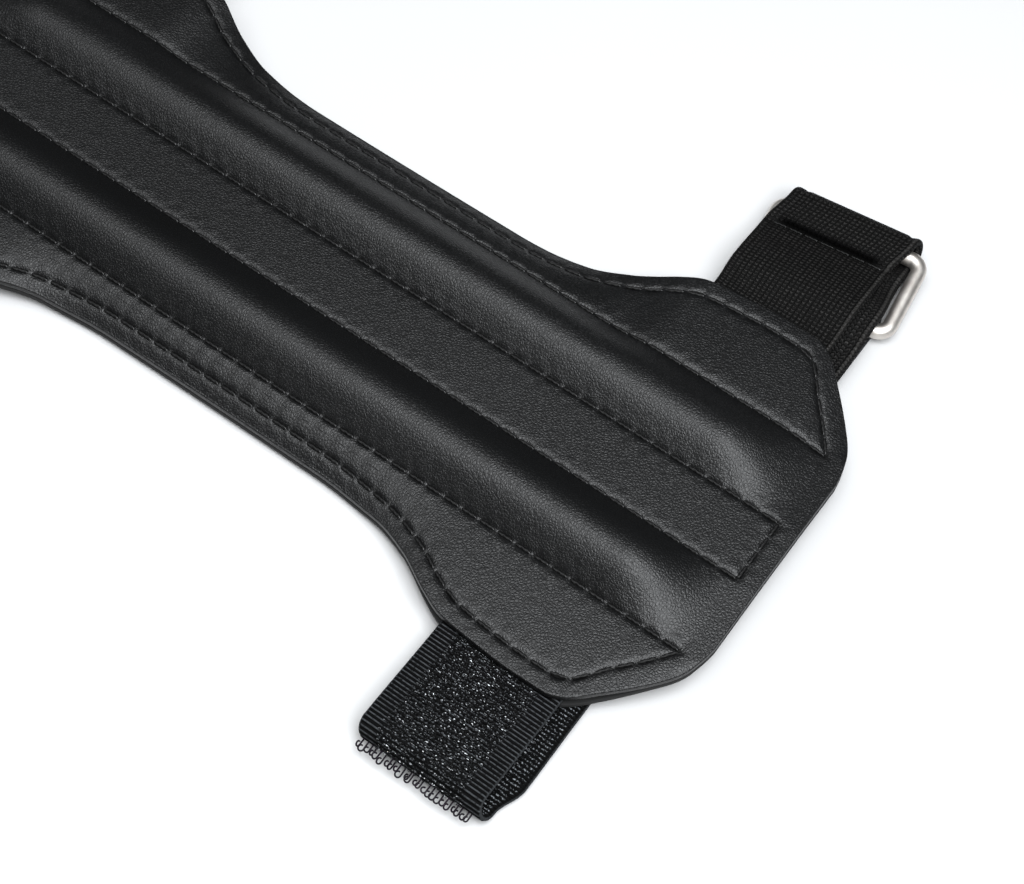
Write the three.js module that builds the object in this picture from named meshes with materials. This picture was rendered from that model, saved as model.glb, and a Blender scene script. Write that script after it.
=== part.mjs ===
// Archery arm guard lying face up, with both of its straps fastened underneath.
// Millimetres, +Z up. X runs along the forearm, +Y is the ring side and -Y the tape side.
// The origin is on the floor, under the middle of the whole.
import * as THREE from 'three';

// Leather body
const COVER_THICKNESS = 1.4;
const BACKING_THICKNESS = 1.2;
const GAP = 0.3; // between layers that lie on each other
const PANEL_TOP = 8.4; // height of the flat strip between the two middle seams
const PANEL_HALF_WIDTH = 6.7;
const RIB_OUTER = 23.4; // outer seam of each rib, from the middle
const RIB_HEIGHT = 4.2;
const RIB_FULLNESS = 1.35; // 1 is a plain parabola, more is softer at the seams
const RIB_FADE = { from: 78, to: 97 }; // where a rib dies away towards the end
const RIB_DROP = 0.9; // fall of the body from a middle seam to an outer seam
const LOBE_DROOP = 0.5; // further fall from an outer seam to the edge, over a strap
const WAIST_DROOP = 3.7; // the same at the waist, where nothing lies underneath
const DROOP_FADE = { from: 30, to: 56 };
const DROOP_POWER = 1.5;
const RIM_MIN = 1; // least distance from a rib's outer seam to the edge

// Half width of the body at a distance from the waist, and the mesh steps to the next row
const OUTLINE = [
  { at: 0, half: 31.3, steps: 4 },
  { at: 24, half: 31.4, steps: 3 },
  { at: 38, half: 32.8, steps: 2 },
  { at: 46, half: 35.5, steps: 2 },
  { at: 54, half: 39.9, steps: 2 },
  { at: 59, half: 41.9, steps: 2 },
  { at: 66, half: 42.7, steps: 2 },
  { at: 74, half: 43.2, steps: 2 },
  { at: 81, half: 43.1, steps: 1 },
  { at: 84, half: 42.1, steps: 2 },
  { at: 89, half: 37.5, steps: 3 },
  { at: 95.8, half: 30, steps: 1 },
  { at: 98.2, half: 26.4, steps: 1 },
  { at: 99.4, half: 22.8, steps: 1 },
  { at: 100, half: 19.5, steps: 0 },
];

// Mesh rows across one half: fractions of the rib's width and of the lobe beside it
const COVER_ROWS = { rib: [1 / 7, 2 / 7, 3 / 7, 4 / 7, 5 / 7, 6 / 7, 1], lobe: [0.25, 0.5, 0.7, 1] };
const BACKING_ROWS = { rib: [0.5, 1], lobe: [0.25, 0.7, 1] };

// Room for the sewn-in strap ends: the backing sags under them, the cover rises over the webbing's layers
const STRAP_ROOM = { rise: 50, full: 58.9, fall: 86.5, gone: 96 }; // distances along
const SAG = { deep: 1.6, across: { from: 0.25, to: 0.7 } }; // across as a fraction of the lobe
const SWELL = { high: 1.2, across: { from: 14, to: 26 } }; // on the ring side, from the middle

// Straps, in the order in which they lie on the floor
const STRAP_THICKNESS = 1;
const ROOT_INNER = 37.5; // sewn-in ends, from the middle
const ROOT_OUTER = 44;
const LOWER_ROOT = 4.7; // height of a sewn-in end that lies on the backing
const UPPER_ROOT = 5.95;
const TAPE_WIDTH = 25;
const TAPE_X = { upper: 71.7, fold: 73.5, lower: 75.3 }; // the fold steps sideways
const TAPE_FOLD = { y: -63.4, z: 3.3, radius: 2.3 };
const TAPE_RISE = { from: -57, to: -41 };
const TAPE_CROSSING = 1.75; // height of the run under the body
const TAPE_CROSSING_END = 42;
const TAPE_TAIL = { y: -36, z: 0.5 };
const WEBBING_WIDTH = 25.6;

// Ring of round wire: its outer bar lies in the webbing's fold, its inner bar in the tape's
const WIRE_RADIUS = 1.5;
const RING_X = 74.4;
const RING_WIDTH = 32.2; // overall, along the bars
const RING_CORNER = 2.4; // bend radius of the wire's centre line
const RING_SKEW = 0.13; // slope of the bars, and of the folds round them
const SKEW_FADE = { from: 43, to: 52 };
const OUTER_BAR = { y: 70, z: 3.7 };
const INNER_BAR = { y: 52.6, z: 2.6 };
const WEBBING_FOLD = { y: 71.3, z: 3.6, radius: 2.5 };
const TAPE_TURN = { y: 53, z: 2.6, radius: 2.1 };
const WIRE_SIDES = 10;
const CORNER_STEPS = 5;

// The webbing's two layers on the way from the body to the outer bar; the lower one runs askew
const WEBBING_ROOT = { upper: { x: 71.8, z: UPPER_ROOT }, lower: { x: 75.7, z: LOWER_ROOT } };
const WEBBING_RUN = [
  { y: ROOT_INNER, ...WEBBING_ROOT },
  { y: ROOT_OUTER, ...WEBBING_ROOT },
  { y: INNER_BAR.y, upper: { x: 71.6, z: 7.35 }, lower: { x: 75.4, z: 6 } },
  { y: 64, upper: { x: 71.3, z: 5.4 }, lower: { x: 74, z: 3.8 } }, // sewn across, as the bar's tunnel
];
const WEBBING_FOLD_X = { upper: 72.4, lower: 73.5 };
const RUN_STEPS = 5;
const FOLD_STEPS = 8;

const LEATHER = { color: 0x17181a, roughness: 0.5, metalness: 0 };
const BACKING_CLOTH = { color: 0x101011, roughness: 0.85, metalness: 0 };
const WEBBING = { color: 0x151514, roughness: 0.8, metalness: 0 };
const TAPE = { color: 0x111113, roughness: 0.7, metalness: 0 };
const STEEL = { color: 0xc9c6c1, roughness: 0.25, metalness: 1 };

function smooth({ from, to }, value) {
  return THREE.MathUtils.smoothstep(value, from, to);
}

// Monotone cubic through the outline's rows
const slopes = OUTLINE.map((row, i) => {
  const before = i > 0 ? rise(i - 1) : 0;
  const after = i < OUTLINE.length - 1 ? rise(i) : before;
  return before * after > 0 ? (2 * before * after) / (before + after) : 0;
});

function rise(i) {
  return (OUTLINE[i + 1].half - OUTLINE[i].half) / (OUTLINE[i + 1].at - OUTLINE[i].at);
}

function halfWidth(x) {
  const at = Math.abs(x);
  const last = OUTLINE.length - 2;
  const i = Math.min(last, OUTLINE.findLastIndex((row) => row.at <= at));
  const span = OUTLINE[i + 1].at - OUTLINE[i].at;
  const t = (at - OUTLINE[i].at) / span;
  const blend = t * t * (3 - 2 * t);
  const ends = OUTLINE[i].half * (1 - blend) + OUTLINE[i + 1].half * blend;
  return ends + span * t * (1 - t) * (slopes[i] * (1 - t) - slopes[i + 1] * t);
}

function ribEdge(x) {
  return Math.min(RIB_OUTER, halfWidth(x) - RIM_MIN);
}

function lobeFraction(x, y) {
  const edge = ribEdge(x);
  return THREE.MathUtils.clamp((Math.abs(y) - edge) / (halfWidth(x) - edge), 0, 1);
}

// Face of the body without ribs: level in the middle, falling to the sides
function bodyTop(x, y) {
  const toSeam = (Math.abs(y) - PANEL_HALF_WIDTH) / (RIB_OUTER - PANEL_HALF_WIDTH);
  const droop = THREE.MathUtils.lerp(WAIST_DROOP, LOBE_DROOP, smooth(DROOP_FADE, Math.abs(x)));
  const seamDrop = RIB_DROP * THREE.MathUtils.clamp(toSeam, 0, 1);
  return PANEL_TOP - seamDrop - droop * lobeFraction(x, y) ** DROOP_POWER;
}

function ribRise(x, y) {
  const middle = (PANEL_HALF_WIDTH + RIB_OUTER) / 2;
  const off = (Math.abs(y) - middle) / (middle - PANEL_HALF_WIDTH);
  const full = RIB_HEIGHT * Math.max(0, 1 - off * off) ** RIB_FULLNESS;
  return full * (1 - smooth(RIB_FADE, Math.abs(x)));
}

// 1 along the straps, 0 away from them
function overStraps(x) {
  const { rise: start, full, fall, gone } = STRAP_ROOM;
  const at = Math.abs(x);
  return smooth({ from: start, to: full }, at) * (1 - smooth({ from: fall, to: gone }, at));
}

function strapSwell(x, y) {
  return SWELL.high * overStraps(x) * smooth(SWELL.across, y);
}

function strapSag(x, y) {
  return SAG.deep * overStraps(x) * smooth(SAG.across, lobeFraction(x, y));
}

// Closed wall between two grids of points, columns along and rows across, top on their right-hand side
function wallGeometry(top, bottom) {
  const columns = top.length - 1;
  const rows = top[0].length - 1;
  const sheet = top.length * top[0].length;
  const upper = (i, j) => i * (rows + 1) + j;
  const lower = (i, j) => sheet + upper(i, j);
  const index = [];
  const quad = (a, b, c, d) => index.push(a, b, c, a, c, d);
  for (let i = 0; i < columns; i += 1) {
    for (let j = 0; j < rows; j += 1) {
      quad(upper(i, j), upper(i + 1, j), upper(i + 1, j + 1), upper(i, j + 1));
      quad(lower(i, j), lower(i, j + 1), lower(i + 1, j + 1), lower(i + 1, j));
    }
    quad(lower(i, 0), lower(i + 1, 0), upper(i + 1, 0), upper(i, 0));
    quad(lower(i + 1, rows), lower(i, rows), upper(i, rows), upper(i + 1, rows));
  }
  for (let j = 0; j < rows; j += 1) {
    quad(lower(0, j + 1), lower(0, j), upper(0, j), upper(0, j + 1));
    quad(lower(columns, j), lower(columns, j + 1), upper(columns, j + 1), upper(columns, j));
  }
  const points = [...top.flat(), ...bottom.flat()];
  const geometry = new THREE.BufferGeometry().setFromPoints(points);
  geometry.setIndex(index);
  geometry.computeVertexNormals();
  return geometry;
}

function columnPlaces() {
  const half = [];
  OUTLINE.forEach((row, i) => {
    for (let step = 0; step < row.steps; step += 1) {
      half.push(THREE.MathUtils.lerp(row.at, OUTLINE[i + 1].at, step / row.steps));
    }
  });
  half.push(OUTLINE.at(-1).at);
  const mirrored = half.slice(1).reverse().map((x) => -x);
  return [...mirrored, ...half];
}

function rowPlaces(x, { rib, lobe }) {
  const edge = ribEdge(x);
  const half = [
    PANEL_HALF_WIDTH,
    ...rib.map((part) => THREE.MathUtils.lerp(PANEL_HALF_WIDTH, edge, part)),
    ...lobe.map((part) => THREE.MathUtils.lerp(edge, halfWidth(x), part)),
  ];
  const mirrored = half.slice().reverse().map((y) => -y);
  return [...mirrored, 0, ...half];
}

// Layer of the body whose upper face is given by a height over the plan
function layerGeometry(rows, thickness, height) {
  const grid = (drop) => columnPlaces().map((x) => (
    rowPlaces(x, rows).map((y) => new THREE.Vector3(x, y, height(x, y) - drop))
  ));
  return wallGeometry(grid(0), grid(thickness));
}

// Straps turn with the ring: places beyond the body's edge slide along Y in step with X
function skewed(x, y) {
  return y + RING_SKEW * (x - RING_X) * smooth(SKEW_FADE, y);
}

// Even steps along Y between two places, an easy S sideways and in height, without the last point
function easyRun(start, end, steps = RUN_STEPS) {
  return Array.from({ length: steps }, (_, i) => {
    const t = i / steps;
    const ease = t * t * (3 - 2 * t);
    const y = THREE.MathUtils.lerp(start.y, end.y, t);
    return new THREE.Vector3().copy(start).lerp(end, ease).setY(y);
  });
}

// Half turn round a bar from its top to its bottom, on the side that outward gives, stepping sideways
function foldRound({ y, z, radius }, outward, { from, to }) {
  return Array.from({ length: FOLD_STEPS + 1 }, (_, i) => {
    const angle = (Math.PI * i) / FOLD_STEPS;
    const x = THREE.MathUtils.lerp(from, to, (1 - Math.cos(angle)) / 2);
    return new THREE.Vector3(x, y + outward * radius * Math.sin(angle), z + radius * Math.cos(angle));
  });
}

// Flat band of strap along the route of its middle; side is +1 at the near end and -1 at the far end
function strapGeometry(side, width, route) {
  const edges = [-width / 2, width / 2];
  const sheet = (lift) => route.map((point, i) => {
    const ahead = route[Math.min(i + 1, route.length - 1)];
    const behind = route[Math.max(i - 1, 0)];
    const along = new THREE.Vector2(ahead.y - behind.y, ahead.z - behind.z).normalize();
    const y = point.y + side * along.y * lift;
    const z = point.z - side * along.x * lift;
    return edges.map((edge) => {
      const x = point.x + edge;
      return new THREE.Vector3(side * x, skewed(x, y), z);
    });
  });
  return wallGeometry(sheet(STRAP_THICKNESS / 2), sheet(-STRAP_THICKNESS / 2));
}

function webbingGeometry(side) {
  const upper = WEBBING_RUN.map(({ y, upper: at }) => ({ y, ...at }));
  const lower = WEBBING_RUN.map(({ y, lower: at }) => ({ y, ...at })).reverse();
  const fold = foldRound(WEBBING_FOLD, 1, { from: WEBBING_FOLD_X.upper, to: WEBBING_FOLD_X.lower });
  const runs = (stops) => stops.slice(1).flatMap((stop, i) => easyRun(stops[i], stop));
  const route = [
    ...runs([...upper, fold[0]]),
    ...fold,
    ...runs([fold.at(-1), ...lower]).slice(1),
    new THREE.Vector3().copy(lower.at(-1)),
  ];
  return strapGeometry(side, WEBBING_WIDTH, route);
}

function tapeGeometry(side) {
  const { upper, fold: folded, lower: x } = TAPE_X;
  const fold = foldRound(TAPE_FOLD, -1, { from: upper, to: folded });
  const turn = foldRound(TAPE_TURN, 1, { from: x, to: x });
  const root = { x: upper, y: -ROOT_INNER, z: LOWER_ROOT };
  const rim = { x: upper, y: -ROOT_OUTER, z: LOWER_ROOT };
  const settled = { x, y: TAPE_RISE.from, z: fold.at(-1).z };
  const crossing = { x, y: TAPE_RISE.to, z: TAPE_CROSSING };
  const crossed = { x, y: TAPE_CROSSING_END, z: TAPE_CROSSING };
  const route = [
    ...easyRun(root, rim, 1),
    ...easyRun(rim, fold[0]),
    ...fold,
    ...easyRun(fold.at(-1), settled).slice(1),
    ...easyRun(settled, crossing),
    ...easyRun(crossing, crossed, 1),
    ...easyRun(crossed, turn[0]),
    ...turn,
    new THREE.Vector3(x, TAPE_TAIL.y, TAPE_TAIL.z),
  ];
  return strapGeometry(side, TAPE_WIDTH, route);
}

// Closed loop of wire round a rectangle with round corners, lying in XY round its own middle
function ringGeometry(width, depth) {
  const centres = [[1, 1], [-1, 1], [-1, -1], [1, -1]];
  const stations = centres.flatMap(([sx, sy], corner) => (
    Array.from({ length: CORNER_STEPS + 1 }, (_, i) => {
      const angle = (Math.PI / 2) * (corner + i / CORNER_STEPS);
      const out = new THREE.Vector3(Math.cos(angle), Math.sin(angle), 0);
      const centre = new THREE.Vector3(sx * (width / 2 - RING_CORNER), sy * (depth / 2 - RING_CORNER), 0);
      return { out, at: centre.addScaledVector(out, RING_CORNER) };
    })
  ));
  const points = stations.flatMap(({ out, at }) => (
    Array.from({ length: WIRE_SIDES }, (_, k) => {
      const angle = (2 * Math.PI * k) / WIRE_SIDES;
      const point = at.clone().addScaledVector(out, WIRE_RADIUS * Math.cos(angle));
      return point.setZ(WIRE_RADIUS * Math.sin(angle));
    })
  ));
  const vertex = (i, k) => (i % stations.length) * WIRE_SIDES + (k % WIRE_SIDES);
  const index = [];
  stations.forEach((station, i) => {
    for (let k = 0; k < WIRE_SIDES; k += 1) {
      const [a, b] = [vertex(i, k), vertex(i + 1, k)];
      const [c, d] = [vertex(i + 1, k + 1), vertex(i, k + 1)];
      index.push(a, b, c, a, c, d);
    }
  });
  const geometry = new THREE.BufferGeometry().setFromPoints(points);
  geometry.setIndex(index);
  geometry.computeVertexNormals();
  return geometry;
}

function piece(name, geometry, finish) {
  const mesh = new THREE.Mesh(geometry, new THREE.MeshStandardMaterial(finish));
  mesh.name = name;
  return mesh;
}

function ring(name, side) {
  const turn = Math.atan(RING_SKEW);
  const apart = (OUTER_BAR.y - INNER_BAR.y) * Math.cos(turn);
  const lift = OUTER_BAR.z - INNER_BAR.z;
  const depth = Math.hypot(apart, lift);
  const mesh = piece(name, ringGeometry(RING_WIDTH - 2 * WIRE_RADIUS, depth), STEEL);
  const y = (OUTER_BAR.y + INNER_BAR.y) / 2;
  const z = (OUTER_BAR.z + INNER_BAR.z) / 2;
  mesh.position.set(side * RING_X, y, z);
  mesh.rotation.set(Math.atan2(lift, apart), 0, side * turn, 'ZYX');
  return mesh;
}

const coverTop = (x, y) => bodyTop(x, y) + ribRise(x, y) + strapSwell(x, y);
const backingTop = (x, y) => bodyTop(x, y) - COVER_THICKNESS - GAP - strapSag(x, y);

const armGuard = new THREE.Group();
armGuard.add(
  piece('cover', layerGeometry(COVER_ROWS, COVER_THICKNESS, coverTop), LEATHER),
  piece('backing', layerGeometry(BACKING_ROWS, BACKING_THICKNESS, backingTop), BACKING_CLOTH),
);
for (const [end, side] of [['near', 1], ['far', -1]]) {
  armGuard.add(
    piece(`webbing_loop_${end}`, webbingGeometry(side), WEBBING),
    ring(`ring_${end}`, side),
    piece(`tape_strap_${end}`, tapeGeometry(side), TAPE),
  );
}

// The ring side reaches further than the tape side, so the whole is centred over the origin
const reach = new THREE.Box3().setFromObject(armGuard, true);
armGuard.position.y = -(reach.min.y + reach.max.y) / 2;

export default armGuard;
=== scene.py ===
"""Looks of an archery arm guard that lies face up, with both of its straps fastened underneath."""
import math

import bpy
import numpy as np
from mathutils import Matrix, Vector


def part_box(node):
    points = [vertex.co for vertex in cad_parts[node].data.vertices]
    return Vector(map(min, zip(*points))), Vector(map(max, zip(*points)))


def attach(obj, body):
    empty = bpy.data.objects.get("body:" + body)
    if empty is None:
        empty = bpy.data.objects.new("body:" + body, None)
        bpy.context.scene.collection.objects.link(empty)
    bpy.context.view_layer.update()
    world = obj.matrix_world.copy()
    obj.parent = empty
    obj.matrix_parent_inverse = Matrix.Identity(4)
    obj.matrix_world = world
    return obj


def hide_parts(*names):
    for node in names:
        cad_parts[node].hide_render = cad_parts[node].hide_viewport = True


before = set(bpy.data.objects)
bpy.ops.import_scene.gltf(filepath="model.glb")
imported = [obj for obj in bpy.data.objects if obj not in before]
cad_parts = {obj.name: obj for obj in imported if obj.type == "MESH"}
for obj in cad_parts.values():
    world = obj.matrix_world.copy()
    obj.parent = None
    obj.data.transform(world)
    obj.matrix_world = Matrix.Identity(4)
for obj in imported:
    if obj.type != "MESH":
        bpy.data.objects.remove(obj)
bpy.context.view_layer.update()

MM = 0.001  # sizes below are in millimetres where nothing else is said
BODY = "root"
ENDS = {"near": 1, "far": -1}  # the guard's two ends, which mirror each other
rng = np.random.default_rng(7)

# The guard's own frame: its axis lies under the middle of the cover
cover_low, cover_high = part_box("cover")
AXIS_Y = (cover_low.y + cover_high.y) / 2 / MM
HALF_LENGTH = cover_high.x / MM

# Leather body
COVER_THICKNESS = 1.4
BACKING_THICKNESS = 1.2
LAYER_GAP = 0.3
PANEL_TOP = 8.4
PANEL_HALF_WIDTH = 6.7
PANEL_END = 96
RIB_OUTER = 23.4
RIB_HEIGHT = 4.2
RIB_FULLNESS = 1.35
RIB_FADE = (78, 97)
RIB_DROP = 0.9
LOBE_DROOP = 0.5
WAIST_DROOP = 3.7
DROOP_FADE = (30, 56)
DROOP_POWER = 1.5
RIM_MIN = 1
STRAP_ROOM = {"rise": (50, 58.9), "fall": (86.5, 96)}
SAG = {"deep": 1.6, "across": (0.25, 0.7)}  # of the backing, across the lobe
SWELL = {"high": 1.2, "across": (14, 26)}  # of the cover on the ring side, from the middle
COVER_ROUND = {"top": 0.28, "bottom": 0.25}  # radii of the cut edge
BACKING_ROUND = {"top": 0.25, "bottom": 0.35}

# Mesh of a leather layer: rows in the panel, a rib, a lobe and a margin, and rows below
COVER_ROWS = {"top": (24, 34, 18, 10), "bottom": 25}
BACKING_ROWS = {"top": (8, 8, 5, 4), "bottom": 31}
BACKING_STEP = 1
EVEN_END = 95.5  # columns are even up to here
END_COLUMNS = 18
END_GATHER = 1.8  # power by which the last columns draw together
CAP_COLUMNS = 14  # of the last columns, closed below by one face
SEAM_ROW_LEAST = 0.35  # of a lobe's width, where the edge's seam would leave it

# Body's outline: distance from the waist, half width
OUTLINE = [
    (0, 31.3), (24, 31.4), (38, 32.8), (46, 35.5), (54, 39.9),
    (59, 41.9), (66, 42.7), (74, 43.2), (81, 43.1), (84, 42.1),
    (89, 37.5), (95.8, 30), (98.2, 26.4), (99.4, 22.8), (100, 19.5),
]
OUTLINE_AT, OUTLINE_HALF = np.transpose(OUTLINE)

# Sewn lines
STITCH = 3.84  # from hole to hole
COVER_STEP = STITCH / 8  # mesh step along the cover
SEAM_END = 95.4  # where a rib's outer seam and the edge's seam meet
SEAM_FADE = {"rib": 1, "panel": 0.6}  # over which a seam's relief ends
EDGE_MARGIN = 3  # from the edge's seam to the edge, at the waist
STRAP_MARGIN = {"more": 0.6, "along": (40, 60)}
CORNER_MARGIN = {"more": 0.8, "along": (82, 92)}
PANEL_STITCHES = 25  # from the waist to each end
PANEL_END_STITCHES = 4
RIB_STITCHES = round(SEAM_END / STITCH)
GROOVE = {"deep": 0.07, "wide": 1.1}
SLOT = {"deep": 0.36, "wide": 0.5, "bridge": (0.15, 0.6)}  # under each stitch; bridged beside its holes
PUCKER = {"high": 0.05, "off": 1.5, "wide": 0.8}
THREAD_RADIUS = 0.34
THREAD_SINK = {"face": 0.26, "under": 0.05}  # how far the thread's middle lies under the surface
THREAD_DIVE = 0.6  # how far its ends go down their holes
THREAD_DIVE_POWER = 6
THREAD_SPAN = (0.04, 0.96)  # of the way from hole to hole
THREAD_SECTION = {"sides": 6, "flat": 0.72, "turns": 1.5}
THREAD_STATIONS = 9

# Straps
STRAP_THICKNESS = 1
STRAP_EDGE_STATIONS = 7  # of the half round along each edge
ROOT_INNER = 37.5  # a strap's sewn-in end lies from here to ROOT_OUTER
ROOT_OUTER = 44
LOWER_ROOT = 4.7  # height of the tape's sewn-in end
TAPE_STEP = 0.195  # mesh steps along the straps
WEBBING_STEP = 0.42
TAPE_WIDTH = 25
TAPE_X = {"upper": 71.7, "fold": 73.5, "lower": 75.3}
TAPE_FOLD = {"y": -63.4, "z": 3.3, "radius": 2.3}
TAPE_RISE = (-57, -41)
TAPE_CROSSING = 1.75
TAPE_CROSSING_END = 42
TAPE_TAIL_Y = -36
TAPE_ROWS = 26  # mesh rows across a face
TAPE_RIB = {"pitch": 0.78, "high": 0.08, "margin": 3.2, "middle": 0.35}
PILE_START = 2  # inside the body's edge
INNER_PILE = (1, 22)  # on the inner face, along the tape from its fold
PILE = {
    "apart": 0.62, "inset": 0.4, "stray_across": 0.1, "stray_along": 0.06, "yaw": 0.35, "tip": 0.5,
    "reach": (0.12, 0.24), "height": (0.08, 0.24), "stations": 7, "radius": 0.085, "sides": 4,
    "shade_power": 3,
}
HOOK = {
    "apart": 1.95, "inset": 1.2, "offset": 0.5, "stray_across": 0.15, "stray_along": 0.6, "row_stations": 2,
    "yaw": (-1.2, -0.3), "stem": (-0.2, 1.35), "straight": 0.9, "curl": 0.46, "turn": 275,
    "size": (0.85, 1.15), "stations": (4, 16), "radius": 0.165, "sides": 5, "shade_power": 1,
}
WEBBING_WIDTH = 25.6
WEBBING_FOLD = {"y": 71.3, "z": 3.6, "radius": 2.5}
WEBBING_FOLD_X = {"upper": 72.4, "lower": 73.5}
WEBBING_ROWS = 72
CROSS_SEAM = {"y": 64, "z": 5.4, "deep": 0.7, "wide": 1.0}
CROSS_STITCHES = {"count": 7, "inset": 1.6, "sink": 0.15, "dive": 0.25, "radius": 0.3}
# Painted shade in the cross seam's furrow, on its side under the fold's roll
FURROW_SHADE = {"off": 1.1, "stray": 0.7, "soft": (0.1, 1.5), "fade": (8.5, 11.8), "dark": 0.88}
WEBBING_UPPER = [(37.5, 5.95, 71.8), (44, 5.95, 71.8), (52.6, 7.35, 71.6), (64, 5.4, 71.3)]  # y, z, middle
WEBBING_LOWER = [(37.5, 4.7, 75.7), (44, 4.7, 75.7), (52.6, 6, 75.4), (64, 3.8, 74)]
SELVAGE = {"high": 0.16, "off": 0.8, "wide": 0.55}
SELVAGE_GROOVE = {"deep": 0.2, "off": 2.1, "wide": 0.5}

# Rings
WIRE_RADIUS = 1.5
RING_X = 74.4
RING_WIDTH = 32.2
RING_CORNER = 2.4
RING_SKEW = 0.13
RING_STATIONS = {"corner": 14, "round": 28}
SKEW_FADE = (43, 52)
OUTER_BAR = {"y": 70, "z": 3.7}
INNER_BAR = {"y": 52.6, "z": 2.6}
TAPE_TURN = {"y": 53, "z": 2.6, "radius": 2.1}

# Stage, in metres and watts
FLOOR_REACH = 3.0
LIGHTS = {
    "key_light": {
        "at": (0.28, -0.11, 0.62), "to": (0.05, 0, 0), "size": (0.42, 0.6), "power": 11.0,
        "colour": (0.95, 0.975, 1.0),
    },
    "side_light": {
        "at": (-0.22, -0.1, 0.66), "to": (0, 0, 0), "size": (0.5, 0.6), "power": 3.6,
        "colour": (0.97, 0.985, 1.0),
    },
    "fill_light": {
        "at": (0.55, -1.1, 0.5), "to": (0, 0, 0), "size": (0.8, 0.8), "power": 2.0,
        "colour": (1.0, 0.97, 0.93),
    },
}
SURROUND = {"Color": (0.9, 0.93, 1, 1), "Strength": 0.03}

# Camera
CAMERA_AT = (153.98, -177.61, 357.7)  # from the guard's axis on the floor
CAMERA_AZIMUTH = 31.61
CAMERA_ELEVATION = 60.31
CAMERA_ROLL = 4.53
CAMERA_LENS = 80.43
CAMERA_SENSOR = 36


def lerp(start, end, part):
    return start + (end - start) * part


def smooth(span, value):
    """Easy S: 0 before the span, 1 after it."""
    part = np.clip((value - span[0]) / (span[1] - span[0]), 0, 1)
    return part * part * (3 - 2 * part)


def bell(value, wide):
    """Smooth hump: 1 at 0, falling away to both sides as the square's exponential."""
    return np.exp(-((value / wide) ** 2))


def path_length(path):
    """Length from a path's first point to each of its points, in the plane of its first two columns."""
    return np.append(0, np.cumsum(np.hypot(*np.diff(path[:, :2], axis=0).T)))


def outline_slopes():
    """Slope at each row of the outline: the harmonic mean of the rises beside it, which never overshoots."""
    rise = np.diff(OUTLINE_HALF) / np.diff(OUTLINE_AT)
    before = np.append(0, rise)
    after = np.append(rise, rise[-1])
    level = before * after <= 0
    return np.where(level, 0, 2 * before * after / np.where(level, 1, before + after))


OUTLINE_SLOPES = outline_slopes()


def half_width(x):
    """Monotone cubic through the outline's rows."""
    at = np.clip(np.abs(x), 0, HALF_LENGTH)
    row = np.clip(np.searchsorted(OUTLINE_AT, at, "right") - 1, 0, len(OUTLINE_AT) - 2)
    span = OUTLINE_AT[row + 1] - OUTLINE_AT[row]
    part = (at - OUTLINE_AT[row]) / span
    ends = lerp(OUTLINE_HALF[row], OUTLINE_HALF[row + 1], part * part * (3 - 2 * part))
    lean = OUTLINE_SLOPES[row] * (1 - part) - OUTLINE_SLOPES[row + 1] * part
    return ends + span * part * (1 - part) * lean


def outline_lean(x):
    """Length of a step across, for a step of 1 square to the outline: the hypotenuse of 1 and the slope."""
    step = 0.05
    ahead = np.minimum(np.abs(x) + step, HALF_LENGTH)
    slope = (half_width(ahead) - half_width(ahead - 2 * step)) / (2 * step)
    return np.hypot(1, slope)


def rib_edge(x):
    return np.minimum(RIB_OUTER, half_width(x) - RIM_MIN)


def lobe_part(x, y):
    edge = rib_edge(x)
    return np.clip((np.abs(y) - edge) / (half_width(x) - edge), 0, 1)


def body_top(x, y):
    """Face without ribs: level, then straight down to the rib's seam and down by a power to the edge."""
    to_seam = np.clip((np.abs(y) - PANEL_HALF_WIDTH) / (RIB_OUTER - PANEL_HALF_WIDTH), 0, 1)
    droop = lerp(WAIST_DROOP, LOBE_DROOP, smooth(DROOP_FADE, np.abs(x)))
    return PANEL_TOP - RIB_DROP * to_seam - droop * lobe_part(x, y) ** DROOP_POWER


def rib_rise(x, y):
    """Rib: a parabola across, softened by a power, that dies away towards the end."""
    middle = (PANEL_HALF_WIDTH + RIB_OUTER) / 2
    off = (np.abs(y) - middle) / (middle - PANEL_HALF_WIDTH)
    full = RIB_HEIGHT * np.maximum(0, 1 - off * off) ** RIB_FULLNESS
    return full * (1 - smooth(RIB_FADE, np.abs(x)))


def over_straps(x):
    """1 along the straps, 0 away from them."""
    return smooth(STRAP_ROOM["rise"], np.abs(x)) * (1 - smooth(STRAP_ROOM["fall"], np.abs(x)))


def cover_top(x, y):
    """The body with its ribs, risen over the webbing's two layers by easy S curves along and across."""
    return body_top(x, y) + rib_rise(x, y) + SWELL["high"] * over_straps(x) * smooth(SWELL["across"], y)


def backing_top(x, y):
    """The body less the cover, sagging under the sewn-in strap ends."""
    sag = SAG["deep"] * over_straps(x) * smooth(SAG["across"], lobe_part(x, y))
    return body_top(x, y) - COVER_THICKNESS - LAYER_GAP - sag


def backing_bottom(x, y):
    return backing_top(x, y) - BACKING_THICKNESS


def edge_seam(x):
    """Half width of the seam along the edge: the outline, moved in square to itself."""
    at = np.abs(x)
    margin = EDGE_MARGIN + STRAP_MARGIN["more"] * smooth(STRAP_MARGIN["along"], at)
    margin = margin + CORNER_MARGIN["more"] * smooth(CORNER_MARGIN["along"], at)
    return half_width(x) - margin * outline_lean(x)


SEAM_TABLE_X = np.linspace(0, SEAM_END, 800)
SEAM_TABLE_LENGTH = path_length(np.stack([SEAM_TABLE_X, edge_seam(SEAM_TABLE_X)], 1))
EDGE_STITCHES = round(SEAM_TABLE_LENGTH[-1] / STITCH)
EDGE_STITCH = SEAM_TABLE_LENGTH[-1] / EDGE_STITCHES


def edge_seam_length(x):
    """Length along the edge's seam from the waist."""
    return np.sign(x) * np.interp(np.abs(x), SEAM_TABLE_X, SEAM_TABLE_LENGTH)


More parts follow.
